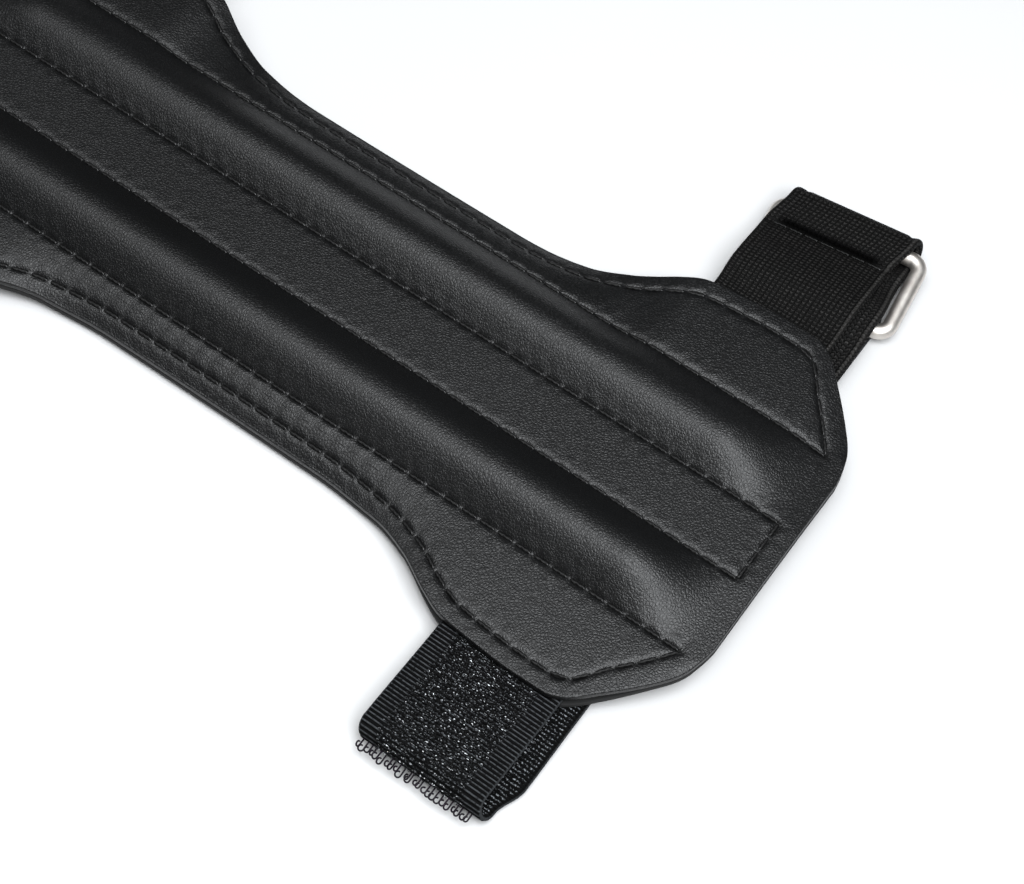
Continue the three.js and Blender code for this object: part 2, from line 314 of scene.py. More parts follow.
def sewn_lines(x, y):
    """For each sewn line: distance from it, place along it in stitches, and 1 where it is sewn."""
    at = np.abs(x)
    across = np.abs(y)
    sewn = 1 - smooth((SEAM_END, SEAM_END + SEAM_FADE["rib"]), at)
    panel_sewn = 1 - smooth((PANEL_END, PANEL_END + SEAM_FADE["panel"]), at)
    end_sewn = 1 - smooth((PANEL_HALF_WIDTH, PANEL_HALF_WIDTH + SEAM_FADE["panel"]), across)
    end_along = (y / PANEL_HALF_WIDTH + 1) / 2 * PANEL_END_STITCHES
    return [
        (across - PANEL_HALF_WIDTH, x / STITCH, panel_sewn),
        (across - RIB_OUTER, x / SEAM_END * RIB_STITCHES, sewn),
        ((across - edge_seam(x)) / outline_lean(x), edge_seam_length(x) / EDGE_STITCH, sewn),
        (at - PANEL_END, end_along, end_sewn),
    ]


def seam_relief(x, y):
    """Height that the seams add to the face: bells across each line for a soft groove, a slot under each
    stitch and a wave of puckers. Also gives the nearest seam: distance, place in stitches and 1 if sewn."""
    lift = np.zeros(np.broadcast(x, y).shape)
    nearest = np.stack([np.full(lift.shape, np.inf), lift, lift], -1)
    for away, along, sewn in sewn_lines(x, y):
        to_hole = np.abs(along - np.round(along)) * STITCH
        slot = bell(away, SLOT["wide"]) * smooth(SLOT["bridge"], to_hole)
        groove = bell(away, GROOVE["wide"])
        pucker = np.cos(2 * np.pi * along) * bell(np.abs(away) - PUCKER["off"], PUCKER["wide"])
        lift -= sewn * (GROOVE["deep"] * groove + SLOT["deep"] * slot + PUCKER["high"] * pucker)
        line = np.stack(np.broadcast_arrays(away, along, sewn), -1)
        nearer = (np.abs(away) < np.abs(nearest[..., 0])) & (sewn > 0)
        nearest = np.where(nearer[..., None], line, nearest)
    return lift, np.nan_to_num(nearest, posinf=HALF_LENGTH)


def gathered(count, pull=0.6):
    """Fractions from 0 to 1 in count steps, drawn together towards both ends by a sine."""
    part = np.linspace(0, 1, count + 1)
    return part - pull * np.sin(2 * np.pi * part) / (2 * np.pi)


def column_places(step, inset):
    """Places along the guard: even steps, and shorter and shorter ones over the last few millimetres."""
    even = np.linspace(-EVEN_END, EVEN_END, 2 * round(EVEN_END / step) + 1)
    left = (1 - np.linspace(0, 1, END_COLUMNS + 1)[1:]) ** END_GATHER
    last = HALF_LENGTH - inset - (HALF_LENGTH - inset - EVEN_END) * left
    return np.concatenate([-last[::-1], even, last])


def layer_plan(columns, inset, counts):
    """Plan of a leather layer: columns along X, and rows across that follow the seams and the edge."""
    x = columns[:, None]
    edge = half_width(x) - inset * outline_lean(x)
    rib = np.minimum(RIB_OUTER, edge - RIM_MIN)
    seam = np.maximum(edge_seam(x), lerp(rib, edge, SEAM_ROW_LEAST))
    panel = PANEL_HALF_WIDTH * np.ones_like(x)
    bands = zip((panel, rib, seam), (rib, seam, edge), counts[1:])
    half = np.concatenate([lerp(low, high, gathered(count)[1:]) for low, high, count in bands], 1)
    middle = lerp(-panel, panel, gathered(counts[0]))
    y = np.concatenate([-half[:, ::-1], middle, half], 1)
    return np.broadcast_to(x, y.shape), y


def rounded_wall(thickness, radii, steps=4):
    """Way down the cut edge as (out, down): a quarter round, a straight wall and another quarter round."""
    turn = np.linspace(0, np.pi / 2, steps + 1)
    top, bottom = radii["top"], radii["bottom"]
    upper = np.stack([top * np.sin(turn), top * (1 - np.cos(turn))], 1)[1:]
    lower = np.stack([top - bottom * (1 - np.cos(turn)), thickness - bottom * (1 - np.sin(turn))], 1)
    return np.concatenate([upper, lower])


def grid_faces(index):
    """Quads of a grid of vertex numbers."""
    return np.stack([index[:-1, :-1], index[1:, :-1], index[1:, 1:], index[:-1, 1:]], -1).reshape(-1, 4)


def leather_layer(top, thickness, radii, step, row_counts, relief=None):
    """Closed leather sheet: a grid over the plan at height top, a rounded wall carried round its rim, and a
    coarser grid below. Gives points, quads, end faces and each point's place in a seam."""
    x, y = layer_plan(column_places(step, radii["top"]), radii["top"], row_counts["top"])
    lift, mark = relief(x, y) if relief else (0, np.zeros((*x.shape, 3)))
    points = np.stack([x, y, top(x, y) + lift], -1)
    columns, rows = x.shape
    index = np.arange(columns * rows).reshape(columns, rows)
    faces = [grid_faces(index)]
    rim = np.concatenate([index[:-1, 0], index[-1, :-1], index[:0:-1, -1], index[0, :0:-1]])
    rim_points = points.reshape(-1, 3)[rim]
    along = np.roll(rim_points, -1, 0) - np.roll(rim_points, 1, 0)
    out = np.stack([along[:, 1], -along[:, 0]], 1) / np.hypot(along[:, 0], along[:, 1])[:, None]
    wall = rounded_wall(thickness, radii)
    rings = np.stack([
        np.concatenate([rim_points[:, :2] + out * outward, rim_points[:, 2:] - down], 1)
        for outward, down in wall
    ])
    count = len(rim)
    ring_index = index.size + np.arange(len(wall) * count).reshape(len(wall), count)
    stack = np.concatenate([rim[None], ring_index])
    faces.append(grid_faces(np.concatenate([stack, stack[:, :1]], 1)))

    # The bottom keeps clear of the last columns, which one face at each end closes
    skip = CAP_COLUMNS
    last = ring_index[-1]
    left = last[:columns]
    right = last[columns + rows - 2:2 * columns + rows - 2][::-1]
    inner = slice(skip, columns - skip)
    ends = [rings[-1][side - index.size - (len(wall) - 1) * count] for side in (left, right)]
    part = np.linspace(0, 1, row_counts["bottom"] + 2)[1:-1][None, :, None]
    plan = lerp(ends[0][inner, None, :2], ends[1][inner, None, :2], part)
    height = top(plan[..., 0], plan[..., 1]) - thickness
    below = np.concatenate([plan, height[..., None]], -1)
    below_index = ring_index.max() + 1 + np.arange(below[..., 0].size).reshape(below.shape[:2])
    bottom = np.concatenate([left[inner, None], below_index, right[inner, None]], 1)
    faces.append(grid_faces(bottom)[:, ::-1])
    near_cap = last[columns - 1 - skip:columns + rows - 1 + skip]
    far_cap = np.concatenate([last[2 * columns + rows - 3 - skip:], last[:skip + 1]])
    caps = [
        list(near_cap[::-1]) + list(bottom[-1, 1:-1]),
        list(far_cap[::-1]) + list(bottom[0, 1:-1][::-1]),
    ]
    every = np.concatenate([points.reshape(-1, 3), rings.reshape(-1, 3), below.reshape(-1, 3)])
    marks = np.zeros((len(every), 3))
    marks[:index.size] = mark.reshape(-1, 3)
    return every, faces, caps, marks


def tubes(lines, sideways, radius, sides, flat=1, turns=0):
    """Many closed tubes at once, round lines[tube, station, 3]; sideways[tube, 3] is square to each line.
    The section is an ellipse of that radius, thinner by flat, and makes so many turns along the line."""
    count, stations = lines.shape[:2]
    ahead = np.gradient(lines, axis=1)
    ahead /= np.linalg.norm(ahead, axis=2, keepdims=True)
    across = np.broadcast_to(sideways[:, None], lines.shape)
    up = np.cross(ahead, across)
    angle = 2 * np.pi * np.arange(sides) / sides
    twist = 2 * np.pi * turns * np.linspace(0, 1, stations)[:, None]
    wide, high = np.cos(angle), flat * np.sin(angle)
    aside = radius * (wide * np.cos(twist) - high * np.sin(twist))
    above = radius * (wide * np.sin(twist) + high * np.cos(twist))
    points = lines[:, :, None] + across[:, :, None] * aside[..., None] + up[:, :, None] * above[..., None]
    index = np.arange(count * stations * sides).reshape(count, stations, sides)
    around = np.concatenate([index, index[:, :, :1]], 2)
    quads = np.stack([around[:, :-1, :-1], around[:, 1:, :-1], around[:, 1:, 1:], around[:, :-1, 1:]], -1)
    caps = np.concatenate([index[:, 0], index[:, -1, ::-1]])
    return points.reshape(-1, 3), [quads.reshape(-1, 4)[:, ::-1]], caps[:, ::-1].tolist()


def new_piece(name, shape, finish, replaces=None, attributes=None):
    """Object at the origin from points in millimetres of the guard's own frame, its faces turned outward."""
    points, quads, caps = shape
    quads = np.concatenate(quads)
    corner = points[quads] - points.mean(0)
    first_half = np.einsum("ij,ij->i", corner[:, 0], np.cross(corner[:, 1], corner[:, 2]))
    second_half = np.einsum("ij,ij->i", corner[:, 0], np.cross(corner[:, 2], corner[:, 3]))
    if first_half.sum() + second_half.sum() < 0:
        quads = quads[:, ::-1]
        caps = [cap[::-1] for cap in caps]
    mesh = bpy.data.meshes.new(name)
    placed = (points + (0, AXIS_Y, 0)) * MM
    caps = [[int(number) for number in cap] for cap in caps]
    mesh.from_pydata(placed.tolist(), [], quads.tolist() + caps)
    mesh.shade_smooth()
    for label, values in (attributes or {}).items():
        kind, key = ("FLOAT", "value") if values.ndim == 1 else ("FLOAT_VECTOR", "vector")
        mesh.attributes.new(label, kind, "POINT").data.foreach_set(key, values.astype(np.float32).ravel())
    mesh.materials.append(finish)
    piece = bpy.data.objects.new(name, mesh)
    bpy.context.scene.collection.objects.link(piece)
    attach(piece, BODY)
    if replaces:
        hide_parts(replaces)
    return piece


class Nodes:
    """A socket of a material. Arithmetic on it adds Math nodes, and node() adds any other node."""

    def __init__(self, tree, socket=None):
        self.tree = tree
        self.socket = socket

    def node(self, kind, settings=None, inputs=None, output=0):
        """Adds a node: its settings, then the values or links of its inputs. Gives one of its outputs."""
        made = self.tree.nodes.new("ShaderNode" + kind)
        for name, value in (settings or {}).items():
            setattr(made, name, value)
        for name, value in (inputs or {}).items():
            if isinstance(value, Nodes):
                self.tree.links.new(value.socket, made.inputs[name])
            else:
                made.inputs[name].default_value = value
        return Nodes(self.tree, made.outputs[output] if made.outputs else None)

    def math(self, operation, *values):
        return self.node("Math", {"operation": operation}, dict(enumerate(values)))

    def __add__(self, other):
        return self.math("ADD", self, other)

    def __sub__(self, other):
        return self.math("SUBTRACT", self, other)

    def __rsub__(self, other):
        return self.math("SUBTRACT", other, self)

    def __mul__(self, other):
        return self.math("MULTIPLY", self, other)

    __radd__ = __add__

    def sin(self):
        return self.math("SINE", self)

    def size(self):
        return self.math("ABSOLUTE", self)

    def most(self, other):
        return self.math("MAXIMUM", self, other)

    def ease(self, low, high):
        """Easy S from 0 to 1 as the value goes from low to high."""
        inputs = {"Value": self, "From Min": low, "From Max": high}
        return self.node("MapRange", {"interpolation_type": "SMOOTHSTEP"}, inputs)

    def mix(self, first, second):
        """Colour between two colours, with this value as the factor."""
        inputs = {0: self, 6: first, 7: second}
        return self.node("Mix", {"data_type": "RGBA"}, inputs, 2)

    def attribute(self, name, output):
        return self.node("Attribute", {"attribute_name": name}, output=output)

    def parts(self):
        """X, Y and Z of a vector."""
        return [self.node("SeparateXYZ", None, {0: self}, axis) for axis in range(3)]

    def times(self, factors):
        return self.node("VectorMath", {"operation": "MULTIPLY"}, {0: self, 1: factors})

    def plus(self, other):
        return self.node("VectorMath", {"operation": "ADD"}, {0: self, 1: other})

    def noise(self, scale, detail=2, rough=0.5, output=0):
        inputs = {"Vector": self, "Scale": scale, "Detail": detail, "Roughness": rough}
        return self.node("TexNoise", None, inputs, output)

    def cells(self, scale):
        """Distance to the edge of random cells."""
        inputs = {"Vector": self, "Scale": scale}
        return self.node("TexVoronoi", {"feature": "DISTANCE_TO_EDGE"}, inputs, "Distance")

    def bump(self, strength, depth):
        """Normal of this height."""
        inputs = {"Height": self, "Strength": strength, "Distance": depth}
        return self.node("Bump", None, inputs)


def new_finish(name):
    """A new material, and its emptied nodes."""
    finish = bpy.data.materials.new(name)
    finish.use_nodes = True
    finish.node_tree.nodes.clear()
    return finish, Nodes(finish.node_tree)


def close_finish(nodes, shader):
    """Ends a material with a shader, or with a Principled one that has these inputs."""
    if isinstance(shader, dict):
        shader = nodes.node("BsdfPrincipled", None, shader)
    nodes.node("OutputMaterial", None, {"Surface": shader})


def grey(value, warm=0.0):
    """Near-neutral colour; warm moves it from blue to brown."""
    return (value * (1 + warm), value, value * (1 - warm), 1)


def leather_finish():
    """Black pebble-grained leather: glossy domed cells, dull creases between them and fine noise.
    Painted shade: the creases' dark, nearly unreflecting shader is partly shade, and the leather round
    each stitch's dash is painted near black as the shade in its slot.
    """
    finish, nodes = new_finish("leather_face")
    place = nodes.node("TexCoord", output="Object")
    stray = place.noise(520, 2, output="Color").times((0.0008,) * 3)
    crease = place.plus(stray).times((1.1, 0.92, 1)).cells(1750).ease(0, 0.3)
    fine = place.noise(3900, 2, 0.6)
    broad = place.noise(38, 3)
    away, along, sewn = nodes.attribute("seam", "Vector").parts()
    # Painted shade: mask of the leather round each stitch's dash, painted near black as the shade in its
    # slot
    seam = (1 - away.size().ease(0.28, 0.44)) * (along * np.pi).sin().size().ease(0.3, 0.55) * sewn
    height = crease * 0.7 + fine * 0.5
    normal = height.bump(0.42, 0.00012)
    tone = broad.mix(grey(0.0018, -0.05), grey(0.0033, -0.05))
    dome = nodes.node("BsdfPrincipled", None, {
        "Base Color": seam.mix(tone, grey(0.001)),
        "Roughness": 0.36 + broad * 0.08 + seam * 0.3,
        "Specular IOR Level": 0.32,
        "Normal": normal,
    })
    # Dark, nearly unreflecting shader: partly the creases' real dullness, partly painted shade in them
    valley_shade = nodes.node("BsdfPrincipled", None, {
        "Base Color": seam.mix(grey(0.0022), grey(0.0005)),
        "Roughness": 0.6,
        "Specular IOR Level": 0.06,
        "Normal": normal,
    })
    # The dark valley shader shows in the grain's creases and, as painted shade, round each stitch's dash
    shown = height.ease(-0.35, 0.65) * (1 - seam * 0.95)
    close_finish(nodes, nodes.node("MixShader", None, {0: shown, 1: valley_shade, 2: dome}))
    return finish


def backing_finish():
    """Matt black sheet: felt-like specks over a close cloth grain."""
    finish, nodes = new_finish("backing_cloth")
    place = nodes.node("TexCoord", output="Object")
    speck = place.noise(2600, 3, 0.7)
    broad = place.noise(60, 2)
    colour = (speck * 0.7 + broad * 0.3).mix(grey(0.004), grey(0.012))
    close_finish(nodes, {
        "Base Color": colour,
        "Roughness": 0.78 + speck * 0.15,
        "Specular IOR Level": 0.35,
        "Normal": speck.bump(0.5, 0.00012),
    })
    return finish


def thread_finish():
    """Black sewing thread: dull along its back, with a glint where it bends down at both ends."""
    finish, nodes = new_finish("sewing_thread")
    place = nodes.node("TexCoord", output="Object")
    fibre = place.noise(5200, 2)
    close_finish(nodes, {
        "Base Color": fibre.mix(grey(0.0015), grey(0.0045)),
        "Roughness": 0.5 + fibre * 0.2,
        "Specular IOR Level": 0.2,
        "Coat Weight": nodes.attribute("tip", "Fac").ease(0.6, 0.92) * 0.8,
        "Coat Roughness": 0.22,
        "Normal": fibre.bump(0.35, 0.00006),
    })
    return finish


def webbing_finish():
    """Black elastic webbing: knitted V rows in narrow wales along the strap, painted sheen on the raised
    loops, a painted highlight in links along one selvage and painted shade at the cross seam's furrow."""
    finish, nodes = new_finish("elastic_knit")
    wale, course, chain_link = 0.95, 0.78, 0.9
    across, along, _ = nodes.attribute("weave", "Vector").parts()
    zigzag = (across * (np.pi / wale)).sin().size()
    place = nodes.node("TexCoord", output="Object")
    yarn = place.noise(1700, 2, 0.6)
    row = (along * (2 * np.pi / course) + zigzag * 2.4 + yarn * 5).sin() * 0.5 + 0.5
    rib = zigzag.ease(0, 0.75)
    broad = place.noise(160, 2)
    height = row * 0.6 + rib * 0.55 + yarn * 0.5
    # Painted sheen: the raised loops of the rows are painted lighter and browner
    knit_sheen = (row * rib * (yarn * 1.3)).ease(0.3, 0.85)
    chain = (along * (2 * np.pi / chain_link)).sin() * 0.3 + 0.7
    # Painted highlight: a pale line along one selvage only, in links, as the light its raised edge catches
    selvage = 1 - (across - (WEBBING_WIDTH / 2 - SELVAGE["off"])).size().ease(0.12, 0.4)
    path = webbing_path()
    sewn_at = path_length(path)[cross_seam_station(path)]
    # Painted shade: a dark band along the cross seam, moved towards the fold, as the shade under its roll
    furrow = 1 - (along - sewn_at - FURROW_SHADE["off"] + yarn * FURROW_SHADE["stray"]).size().ease(*FURROW_SHADE["soft"])
    furrow = furrow * (1 - across.size().ease(*FURROW_SHADE["fade"]))
    # How far the painted sheen and the selvage's painted highlight lighten the colour, less in the furrow's
    # painted shade
    light = knit_sheen.most(selvage * chain * yarn.ease(0.25, 0.5) * 2.2) * (1 - furrow)
    cloth = nodes.node("BsdfPrincipled", None, {
        "Base Color": light.mix(grey(0.0011, 0.06), grey(0.0145, 0.05)),
        "Roughness": 0.62 + broad * 0.12 - light * 0.15,
        "Specular IOR Level": 0.1,
        "Normal": height.bump(0.9, 0.00025),
    })
    # Nearly black shader without reflection, mixed in over the furrow as painted shade
    shade = nodes.node("BsdfPrincipled", None, {
        "Base Color": grey(0.0003),
        "Roughness": 0.9,
        "Specular IOR Level": 0,
    })
    close_finish(nodes, nodes.node("MixShader", None, {0: furrow * FURROW_SHADE["dark"], 1: cloth, 2: shade}))
    return finish


def tape_finish():
    """Black woven tape: rows of cord, with painted highlights on each cord's crest along the outer face's
    margins, painted glints in specks elsewhere and a faint painted highlight along both selvages.
    """
    finish, nodes = new_finish("tape_weave")
    across, along, face = nodes.attribute("weave", "Vector").parts()
    ridge = (along * (2 * np.pi / TAPE_RIB["pitch"])).sin() * 0.5 + 0.5
    inner = TAPE_WIDTH / 2 - TAPE_RIB["margin"]
    outside = face.ease(-0.2, 0.2)
    margin = across.size().ease(inner - 1, inner) * outside
    edge = across.size().ease(TAPE_WIDTH / 2 - 1.1, TAPE_WIDTH / 2 - 0.7)
    place = nodes.node("TexCoord", output="Object")
    yarn = place.noise(1900, 2, 0.65)
    speck = place.noise(3600, 1, 0.5)
    height = ridge * 0.6 + yarn * 0.7
    # Painted highlights on the crests of the cords in the outer face's margins
    cord_highlights = ridge.ease(0.62, 1) * margin * yarn.ease(0.25, 0.6) * 0.22
    # Painted glints: bright specks on the crests elsewhere, dimmer on the outer face
    fleck_glints = ridge.ease(0.5, 0.95) * speck.ease(0.5, 0.66) * (1 - margin) * (1 - edge)
    fleck_glints = fleck_glints * (1 - outside * 0.7)
    # Painted highlight: a faint pale line along both selvages
    selvage = across.size().ease(TAPE_WIDTH / 2 - 0.35, TAPE_WIDTH / 2 - 0.05) * 0.12
    light = cord_highlights.most(fleck_glints).most(selvage)
    close_finish(nodes, {
        "Base Color": light.mix(grey(0.0006, -0.05), grey(0.185, -0.07)),
        "Roughness": 0.6 + yarn * 0.2,
        "Specular IOR Level": 0.05,
        "Normal": height.bump(0.7, 0.0002),
    })
    return finish


def fibre_finish(name, dark, light, rough, gloss):
    """Nylon filament: each loop or hook has its own shade, and short painted glints along it, bright
    where that shade is pale.
    """
    finish, nodes = new_finish(name)
    place = nodes.node("TexCoord", output="Object")
    # Painted glints: short spots along the filament, lightened by its shade
    glint = place.noise(4600, 1).ease(0.5, 0.62)
    close_finish(nodes, {
        "Base Color": (nodes.attribute("shade", "Fac") * glint).mix(dark, light),
        "Roughness": rough + place.noise(700, 2) * 0.1,
        "Specular IOR Level": gloss,
        "Normal": place.noise(4000, 1).bump(0.2, 0.00003),
    })
    return finish


def steel_finish():
    """Bright plated steel wire: faint drawing lines along the wire and a few dull spots. Its warm tint is
    a painted reflection of a tan floor.
    """
    finish, nodes = new_finish("ring_steel")
    lines = nodes.attribute("wire", "Vector").times((0.05, 6, 1)).noise(1.0, 3, 0.6)
    place = nodes.node("TexCoord", output="Object")
    spots = place.noise(420, 3, 0.6)
    close_finish(nodes, {
        # Warm tint: painted reflection of a tan floor
        "Base Color": spots.ease(0.3, 0.7).mix((0.58, 0.54, 0.5, 1), (0.68, 0.65, 0.61, 1)),
        "Metallic": 1,
        "Roughness": 0.36 + spots * 0.1 + lines * 0.06,
        "Normal": lines.bump(0.06, 0.00005),
    })
    return finish


def floor_finish():
    """Plain pale floor with a trace of unevenness."""
    finish, nodes = new_finish("pale_floor")
    place = nodes.node("TexCoord", output="Object")
    close_finish(nodes, {
        "Base Color": place.noise(9, 2).mix((0.44, 0.44, 0.44, 1), (0.46, 0.46, 0.46, 1)),
        "Roughness": 0.9,
        "Specular IOR Level": 0.2,
    })
    return finish


def make_leather():
    """Cover with its sewn relief, and the plain backing under it."""
    *shape, seam = leather_layer(
        cover_top, COVER_THICKNESS, COVER_ROUND, COVER_STEP, COVER_ROWS, seam_relief)
    cover = new_piece("cover_face", shape, leather_finish(), "cover", {"seam": seam})
    *shape, _ = leather_layer(
        backing_top, BACKING_THICKNESS, BACKING_ROUND, BACKING_STEP, BACKING_ROWS)
    backing = new_piece("backing_layer", shape, backing_finish(), "backing")
    places = np.linspace(-HALF_LENGTH, HALF_LENGTH, 2001)
    cut = 4 * HALF_LENGTH * half_width(places).mean() * MM * MM


def seam_holes():
    """Plan places of the needle holes along each sewn line."""
    lines = []
    panel = np.arange(-PANEL_STITCHES, PANEL_STITCHES + 1) * STITCH
    rib = np.arange(-RIB_STITCHES, RIB_STITCHES + 1) * SEAM_END / RIB_STITCHES
    lengths = np.arange(-EDGE_STITCHES, EDGE_STITCHES + 1) * EDGE_STITCH
    edge = np.sign(lengths) * np.interp(np.abs(lengths), SEAM_TABLE_LENGTH, SEAM_TABLE_X)
    end = np.linspace(-PANEL_HALF_WIDTH, PANEL_HALF_WIDTH, PANEL_END_STITCHES + 1)
    for side in (-1, 1):
        lines.append(np.stack([panel, np.full(panel.shape, side * PANEL_HALF_WIDTH)], 1))
        lines.append(np.stack([rib, np.full(rib.shape, side * RIB_OUTER)], 1))
        lines.append(np.stack([edge, side * edge_seam(edge)], 1))
        lines.append(np.stack([np.full(end.shape, side * PANEL_END), end], 1))
    return lines


def stitch_threads(starts, ends, sink, dive, radius=THREAD_RADIUS):
    """Twisted threads from hole to hole: straight, dipping under the face at both ends by a high power."""
    part = np.linspace(*THREAD_SPAN, THREAD_STATIONS)[None, :, None]
    lines = lerp(starts[:, None], ends[:, None], part)
    lines[..., 2] -= sink + dive * np.abs(2 * part[..., 0] - 1) ** THREAD_DIVE_POWER
    across = np.cross(ends - starts, (0, 0, 1))
    across /= np.linalg.norm(across, axis=1, keepdims=True)
    return tubes(lines, across, radius, **THREAD_SECTION)


def thread_tips(points, starts):
    """For each point of some threads, how near it is to an end: 0 in the middle and 1 at the ends."""
    ring = len(points) // len(starts) // THREAD_STATIONS
    return np.tile(np.repeat(np.abs(np.linspace(-1, 1, THREAD_STATIONS)), ring), len(starts))


def make_seams(finish):
    """Stitches of all the leather's seams, on the face and under the backing."""
    for name, slot, height, way in (
        ("face", "cover_leather", cover_top, 1),
        ("under", "backing_sheet", backing_bottom, -1),
    ):
        holes = [np.column_stack([line, way * height(line[:, 0], line[:, 1])]) for line in seam_holes()]
        starts = np.concatenate([line[:-1] for line in holes])
        ends = np.concatenate([line[1:] for line in holes])
        points, quads, caps = stitch_threads(starts, ends, THREAD_SINK[name], THREAD_DIVE)
        points = points * (1, 1, way)
        tips = {"tip": thread_tips(points, starts)}
        new_piece(f"{name}_stitches", (points, quads, caps), finish, attributes=tips)


def easy_run(stops, count=60):
    """Points (y, z, middle) through stops, without the last: even along Y, an easy S up and sideways."""
    part = np.linspace(0, 1, count, endpoint=False)[:, None]
    runs = []
    for start, end in zip(np.array(stops[:-1]), np.array(stops[1:])):
        run = lerp(start, end, smooth((0, 1), part))
        run[:, :1] = lerp(start[0], end[0], part)
        runs.append(run)
    return np.concatenate(runs)


def fold_round(fold, outward, middles, count=64):
    """Half circle (y, z, middle) from a fold's top to its bottom, stepping sideways by half a cosine."""
    turn = np.linspace(0, np.pi, count + 1)
    y = fold["y"] + outward * fold["radius"] * np.sin(turn)
    middle = lerp(*middles, (1 - np.cos(turn)) / 2)
    return np.stack([y, fold["z"] + fold["radius"] * np.cos(turn), middle], 1)


def even_steps(path, step):
    """The same path in even steps of its length."""
    length = path_length(path)
    places = np.linspace(0, length[-1], round(length[-1] / step) + 1)
    return np.stack([np.interp(places, length, column) for column in path.T], 1)


def webbing_path():
    """(y, z, middle) of the webbing: out on top, round the ring's outer bar and back below."""
    fold = fold_round(WEBBING_FOLD, 1, WEBBING_FOLD_X.values())
    out = easy_run([*WEBBING_UPPER, fold[0]])
    back = easy_run([fold[-1], *WEBBING_LOWER[::-1]])[1:]
    return even_steps(np.concatenate([out, fold, back, WEBBING_LOWER[:1]]), WEBBING_STEP)


def tape_path():
    """(y, z, middle) of the tape: out, folded under, across below, round the ring's inner bar and back."""
    upper, lower = TAPE_X["upper"], TAPE_X["lower"]
    fold = fold_round(TAPE_FOLD, -1, (upper, TAPE_X["fold"]))
    turn = fold_round(TAPE_TURN, 1, (lower, lower))
    out = easy_run([(-ROOT_INNER, LOWER_ROOT, upper), (-ROOT_OUTER, LOWER_ROOT, upper), fold[0]])
    under = easy_run([
        fold[-1],
        (TAPE_RISE[0], fold[-1, 1], lower),
        (TAPE_RISE[1], TAPE_CROSSING, lower),
        (TAPE_CROSSING_END, TAPE_CROSSING, lower),
        turn[0],
    ])[1:]
    tail = [(TAPE_TAIL_Y, turn[-1, 1], lower)]
    return even_steps(np.concatenate([out, fold, under, turn, tail]), TAPE_STEP)


def skewed(x, y):
    """Place along Y, slid in step with X beyond the body's edge, where the straps turn with the ring."""
    return y + RING_SKEW * (x - RING_X) * smooth(SKEW_FADE, y)


def path_frame(path, outside):
    """Unit normals (y, z) of a path's outer face; outside is 1 where that lies left of the way along."""
    ahead = np.gradient(path[:, :2], axis=0)
    ahead /= np.linalg.norm(ahead, axis=1, keepdims=True)
    return outside * np.stack([-ahead[:, 1], ahead[:, 0]], 1)


def strap_profile(width, rows):
    """Closed section (across, lift): two flat faces joined by half rounds."""
    half = STRAP_THICKNESS / 2
    flat = np.linspace(-1, 1, rows) * (width / 2 - half)
    turn = np.linspace(np.pi / 2, -np.pi / 2, STRAP_EDGE_STATIONS)[1:-1]
    right = np.stack([width / 2 - half + half * np.cos(turn), half * np.sin(turn)], 1)
    top = np.stack([flat, np.full(rows, half)], 1)
    return np.concatenate([top, right, -top, -right])


def strap(side, path, width, rows, outside, relief):
    """Flat strap: its section carried along its path, with relief added square to both faces.
    Gives the shape and, for each point, its place across, its place along and its face."""
    section = strap_profile(width, rows)
    across, lift = section[None, :, 0], section[None, :, 1]
    along = path_length(path)[:, None]
    normal = path_frame(path, outside)
    face = np.sign(lift) * (np.abs(lift) > 0.4 * STRAP_THICKNESS)
    raised = lift + face * relief(across, along, path[:, :1], face)
    x = path[:, 2:] + across + np.zeros_like(raised)
    y = skewed(x, path[:, :1] + normal[:, :1] * raised)
    z = path[:, 1:2] + normal[:, 1:] * raised
    points = np.stack([side * x, y, z], -1)
    index = np.arange(x.size).reshape(x.shape)
    quads = [grid_faces(np.concatenate([index, index[:, :1]], 1))]
    caps = [list(index[0]), list(index[-1][::-1])]
    weave = np.stack(np.broadcast_arrays(across, along, face), -1).reshape(-1, 3)
    return (points.reshape(-1, 3), quads, caps), weave


def cross_seam_station(path):
    """Number of the webbing path's point at the cross seam, on its way out."""
    return np.searchsorted(path[:np.argmax(path[:, 0]), 0], CROSS_SEAM["y"])


def webbing_relief(across, along, y, face):
    """A raised bead along one selvage, a furrow inside both selvages and the cross seam's furrow."""
    inward = WEBBING_WIDTH / 2 - np.abs(across)
    bead = SELVAGE["high"] * bell(inward - SELVAGE["off"], SELVAGE["wide"])
    furrow = SELVAGE_GROOVE["deep"] * bell(inward - SELVAGE_GROOVE["off"], SELVAGE_GROOVE["wide"])
    seam = CROSS_SEAM["deep"] * bell(y - CROSS_SEAM["y"], CROSS_SEAM["wide"]) * (face > 0)
    return bead * (across > 0) - furrow - seam


def tape_relief(across, along, y, face):
    """Ridges across the tape, high along its margins and low in the middle."""
    inner = TAPE_WIDTH / 2 - TAPE_RIB["margin"]
    margin = smooth((inner - 1, inner), np.abs(across))
    ridge = np.sin(2 * np.pi * along / TAPE_RIB["pitch"])
    return TAPE_RIB["high"] * (ridge - 1) * lerp(TAPE_RIB["middle"], 1, margin)


